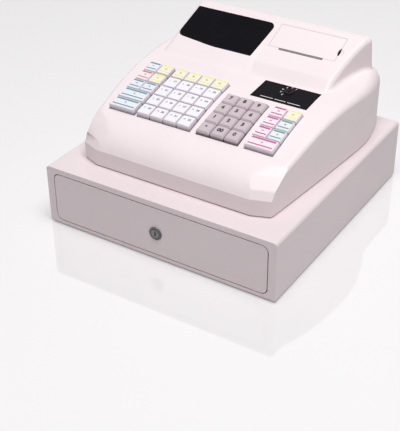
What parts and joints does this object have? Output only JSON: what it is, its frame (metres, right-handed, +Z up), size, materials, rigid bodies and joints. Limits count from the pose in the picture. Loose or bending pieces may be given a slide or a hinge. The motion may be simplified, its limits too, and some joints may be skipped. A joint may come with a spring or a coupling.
{
  "type": "cash register",
  "caption": "Keyboard cash register on a steel cash drawer, with receipt printer under a hinged cover, operator display window and sprung key banks.",
  "frame": {"origin": "centre of the footprint on the surface it stands on", "axes": "+Z up, +Y to the rear, the drawer opens to -Y, +X to the operator's right"},
  "size_m": [0.41, 0.4218, 0.257],
  "materials": {
    "housing": "fine satin, warm pinkish white",
    "cabinet_paint": "satin baked enamel, warm light grey",
    "sheet_steel": "zinc-plated sheet",
    "bright_metal": "bright nickel",
    "spring_wire": "drawn bright wire",
    "tray_plastic": "moulded, fine texture",
    "dark_plastic": "moulded",
    "rubber": "matt",
    "key_clear": "clear cap over a paper label",
    "key_grey": "satin grey-mauve cap",
    "panel_label": "satin black printed plate",
    "display_tint": "near black smoked filter, polished",
    "board": "solder-masked board",
    "transformer_core": "varnished lamination",
    "paper": "plain receipt paper"
  },
  "bodies": {
    "register": {"drawer_cabinet": "cabinet_paint", "cabinet_base": "sheet_steel", "rubber_feet": "rubber", "cabinet_rails": "sheet_steel", "latch_solenoid": "sheet_steel", "eject_spring": "spring_wire", "lower_housing": "housing", "upper_housing": "housing", "housing_screws": "bright_metal", "keyboard_frame": "dark_plastic", "main_board": "board", "transformer": "transformer_core", "display_window": "display_tint", "display_board": "board", "customer_window": "display_tint", "mode_panel": "panel_label", "paper_tub": "dark_plastic", "printer_mechanism": "sheet_steel", "side_socket": "dark_plastic"},
    "drawer": {"drawer_pan": "sheet_steel", "drawer_front": "cabinet_paint", "lock_barrel": "bright_metal", "cash_tray": "tray_plastic"},
    "printer_cover": {"printer_cover": "housing"},
    "lock_plug": {"lock_plug": "bright_metal"},
    "mode_plug": {"mode_plug": "bright_metal"},
    "latch_bolt": {"latch_bolt": "bright_metal"},
    "note_clip_left": {"note_clip_left": "spring_wire"},
    "note_clip_middle": {"note_clip_middle": "spring_wire"},
    "note_clip_right": {"note_clip_right": "spring_wire"},
    "paper_roll": {"paper_roll": "paper"},
    "platen_roller": {"platen_roller": "rubber"},
    "cabinet_rollers": {"cabinet_rollers": "dark_plastic"},
    "drawer_rollers": {"drawer_rollers": "dark_plastic"},
    "key_left_wide_1": {"key_left_wide_1": "key_clear"},
    "key_left_wide_2": {"key_left_wide_2": "key_clear"},
    "keys_left_row_1": {"keys_left_row_1": "key_clear"},
    "keys_left_row_2": {"keys_left_row_2": "key_clear"},
    "keys_left_row_3": {"keys_left_row_3": "key_clear"},
    "keys_centre_row_1": {"keys_centre_row_1": "key_clear"},
    "keys_centre_row_2": {"keys_centre_row_2": "key_clear"},
    "keys_centre_row_3": {"keys_centre_row_3": "key_clear"},
    "keys_centre_row_4": {"keys_centre_row_4": "key_clear"},
    "keys_centre_row_5": {"keys_centre_row_5": "key_clear"},
    "key_point": {"key_point": "key_grey"},
    "key_double_zero": {"key_double_zero": "key_grey"},
    "key_zero": {"key_zero": "key_grey"},
    "key_one": {"key_one": "key_grey"},
    "key_two": {"key_two": "key_grey"},
    "key_three": {"key_three": "key_grey"},
    "key_four": {"key_four": "key_grey"},
    "key_five": {"key_five": "key_grey"},
    "key_six": {"key_six": "key_grey"},
    "key_seven": {"key_seven": "key_grey"},
    "key_eight": {"key_eight": "key_grey"},
    "key_nine": {"key_nine": "key_grey"},
    "key_right_wide": {"key_right_wide": "key_clear"},
    "keys_right_row_1": {"keys_right_row_1": "key_clear"},
    "keys_right_row_2": {"keys_right_row_2": "key_clear"},
    "keys_right_row_3": {"keys_right_row_3": "key_clear"}
  },
  "joints": [
    {"name": "drawer_slide", "type": "slide", "parent": "register", "child": "drawer", "axis": [0, -1, 0], "range_m": [0, 0.29]},
    {"name": "printer_cover_hinge", "type": "hinge", "parent": "register", "child": "printer_cover", "pos_m": [0.0675, 0.15263, 0.25124], "axis": [-1, 0, 0], "range_deg": [0, 75]},
    {"name": "drawer_lock_turn", "type": "hinge", "parent": "drawer", "child": "lock_plug", "pos_m": [0, -0.21, 0.048], "axis": [0, -1, 0], "range_deg": [0, 90]},
    {"name": "mode_lock_turn", "type": "hinge", "parent": "register", "child": "mode_plug", "pos_m": [0.0878, 0.03435, 0.2017], "axis": [0, -0.0918, 0.9958], "range_deg": [-60, 120]},
    {"name": "latch_bolt_slide", "type": "slide", "parent": "register", "child": "latch_bolt", "axis": [0, 0, 1], "range_m": [0, 0.008]},
    {"name": "note_clip_left_hinge", "type": "hinge", "parent": "drawer", "child": "note_clip_left", "pos_m": [-0.115, 0.1773, 0.066], "axis": [-1, 0, 0], "range_deg": [0, 20], "stiffness_Nm_per_rad": 0.05, "springref_deg": -22.92},
    {"name": "note_clip_middle_hinge", "type": "hinge", "parent": "drawer", "child": "note_clip_middle", "pos_m": [0, 0.1773, 0.066], "axis": [-1, 0, 0], "range_deg": [0, 20], "stiffness_Nm_per_rad": 0.05, "springref_deg": -22.92},
    {"name": "note_clip_right_hinge", "type": "hinge", "parent": "drawer", "child": "note_clip_right", "pos_m": [0.115, 0.1773, 0.066], "axis": [-1, 0, 0], "range_deg": [0, 20], "stiffness_Nm_per_rad": 0.05, "springref_deg": -22.92},
    {"name": "paper_roll_spin", "type": "hinge", "parent": "register", "child": "paper_roll", "pos_m": [0.0675, 0.13634, 0.20768], "axis": [1, 0, 0], "continuous": true},
    {"name": "platen_spin", "type": "hinge", "parent": "register", "child": "platen_roller", "pos_m": [0.0675, 0.11802, 0.22581], "axis": [1, 0, 0], "continuous": true},
    {"name": "cabinet_roller_spin", "type": "hinge", "parent": "register", "child": "cabinet_rollers", "pos_m": [0, -0.18, 0.051], "axis": [1, 0, 0], "continuous": true},
    {"name": "drawer_roller_spin", "type": "hinge", "parent": "drawer", "child": "drawer_rollers", "pos_m": [0, 0.1565, 0.051], "axis": [1, 0, 0], "continuous": true},
    {"name": "key_left_wide_1_press", "type": "slide", "parent": "register", "child": "key_left_wide_1", "axis": [0, 0.2174, -0.9761], "range_m": [0, 0.003], "stiffness_N_per_m": 500, "springref_m": -0.002},
    {"name": "key_left_wide_2_press", "type": "slide", "parent": "register", "child": "key_left_wide_2", "axis": [0, 0.2174, -0.9761], "range_m": [0, 0.003], "stiffness_N_per_m": 500, "springref_m": -0.002},
    {"name": "keys_left_row_1_press", "type": "slide", "parent": "register", "child": "keys_left_row_1", "axis": [0, 0.2174, -0.9761], "range_m": [0, 0.003], "stiffness_N_per_m": 500, "springref_m": -0.002},
    {"name": "keys_left_row_2_press", "type": "slide", "parent": "register", "child": "keys_left_row_2", "axis": [0, 0.2174, -0.9761], "range_m": [0, 0.003], "stiffness_N_per_m": 500, "springref_m": -0.002},
    {"name": "keys_left_row_3_press", "type": "slide", "parent": "register", "child": "keys_left_row_3", "axis": [0, 0.2174, -0.9761], "range_m": [0, 0.003], "stiffness_N_per_m": 500, "springref_m": -0.002},
    {"name": "keys_centre_row_1_press", "type": "slide", "parent": "register", "child": "keys_centre_row_1", "axis": [0, 0.2174, -0.9761], "range_m": [0, 0.003], "stiffness_N_per_m": 1000, "springref_m": -0.002},
    {"name": "keys_centre_row_2_press", "type": "slide", "parent": "register", "child": "keys_centre_row_2", "axis": [0, 0.2174, -0.9761], "range_m": [0, 0.003], "stiffness_N_per_m": 1000, "springref_m": -0.002},
    {"name": "keys_centre_row_3_press", "type": "slide", "parent": "register", "child": "keys_centre_row_3", "axis": [0, 0.2174, -0.9761], "range_m": [0, 0.003], "stiffness_N_per_m": 1000, "springref_m": -0.002},
    {"name": "keys_centre_row_4_press", "type": "slide", "parent": "register", "child": "keys_centre_row_4", "axis": [0, 0.2174, -0.9761], "range_m": [0, 0.003], "stiffness_N_per_m": 1000, "springref_m": -0.002},
    {"name": "keys_centre_row_5_press", "type": "slide", "parent": "register", "child": "keys_centre_row_5", "axis": [0, 0.2174, -0.9761], "range_m": [0, 0.003], "stiffness_N_per_m": 1000, "springref_m": -0.002},
    {"name": "key_point_press", "type": "slide", "parent": "register", "child": "key_point", "axis": [0, 0.2174, -0.9761], "range_m": [0, 0.003], "stiffness_N_per_m": 250, "springref_m": -0.002},
    {"name": "key_double_zero_press", "type": "slide", "parent": "register", "child": "key_double_zero", "axis": [0, 0.2174, -0.9761], "range_m": [0, 0.003], "stiffness_N_per_m": 250, "springref_m": -0.002},
    {"name": "key_zero_press", "type": "slide", "parent": "register", "child": "key_zero", "axis": [0, 0.2174, -0.9761], "range_m": [0, 0.003], "stiffness_N_per_m": 250, "springref_m": -0.002},
    {"name": "key_one_press", "type": "slide", "parent": "register", "child": "key_one", "axis": [0, 0.2174, -0.9761], "range_m": [0, 0.003], "stiffness_N_per_m": 250, "springref_m": -0.002},
    {"name": "key_two_press", "type": "slide", "parent": "register", "child": "key_two", "axis": [0, 0.2174, -0.9761], "range_m": [0, 0.003], "stiffness_N_per_m": 250, "springref_m": -0.002},
    {"name": "key_three_press", "type": "slide", "parent": "register", "child": "key_three", "axis": [0, 0.2174, -0.9761], "range_m": [0, 0.003], "stiffness_N_per_m": 250, "springref_m": -0.002},
    {"name": "key_four_press", "type": "slide", "parent": "register", "child": "key_four", "axis": [0, 0.2174, -0.9761], "range_m": [0, 0.003], "stiffness_N_per_m": 250, "springref_m": -0.002},
    {"name": "key_five_press", "type": "slide", "parent": "register", "child": "key_five", "axis": [0, 0.2174, -0.9761], "range_m": [0, 0.003], "stiffness_N_per_m": 250, "springref_m": -0.002},
    {"name": "key_six_press", "type": "slide", "parent": "register", "child": "key_six", "axis": [0, 0.2174, -0.9761], "range_m": [0, 0.003], "stiffness_N_per_m": 250, "springref_m": -0.002},
    {"name": "key_seven_press", "type": "slide", "parent": "register", "child": "key_seven", "axis": [0, 0.2174, -0.9761], "range_m": [0, 0.003], "stiffness_N_per_m": 250, "springref_m": -0.002},
    {"name": "key_eight_press", "type": "slide", "parent": "register", "child": "key_eight", "axis": [0, 0.2174, -0.9761], "range_m": [0, 0.003], "stiffness_N_per_m": 250, "springref_m": -0.002},
    {"name": "key_nine_press", "type": "slide", "parent": "register", "child": "key_nine", "axis": [0, 0.2174, -0.9761], "range_m": [0, 0.003], "stiffness_N_per_m": 250, "springref_m": -0.002},
    {"name": "key_right_wide_press", "type": "slide", "parent": "register", "child": "key_right_wide", "axis": [0, 0.2174, -0.9761], "range_m": [0, 0.003], "stiffness_N_per_m": 500, "springref_m": -0.002},
    {"name": "keys_right_row_1_press", "type": "slide", "parent": "register", "child": "keys_right_row_1", "axis": [0, 0.2174, -0.9761], "range_m": [0, 0.003], "stiffness_N_per_m": 500, "springref_m": -0.002},
    {"name": "keys_right_row_2_press", "type": "slide", "parent": "register", "child": "keys_right_row_2", "axis": [0, 0.2174, -0.9761], "range_m": [0, 0.003], "stiffness_N_per_m": 500, "springref_m": -0.002},
    {"name": "keys_right_row_3_press", "type": "slide", "parent": "register", "child": "keys_right_row_3", "axis": [0, 0.2174, -0.9761], "range_m": [0, 0.003], "stiffness_N_per_m": 500, "springref_m": -0.002}
  ]
}
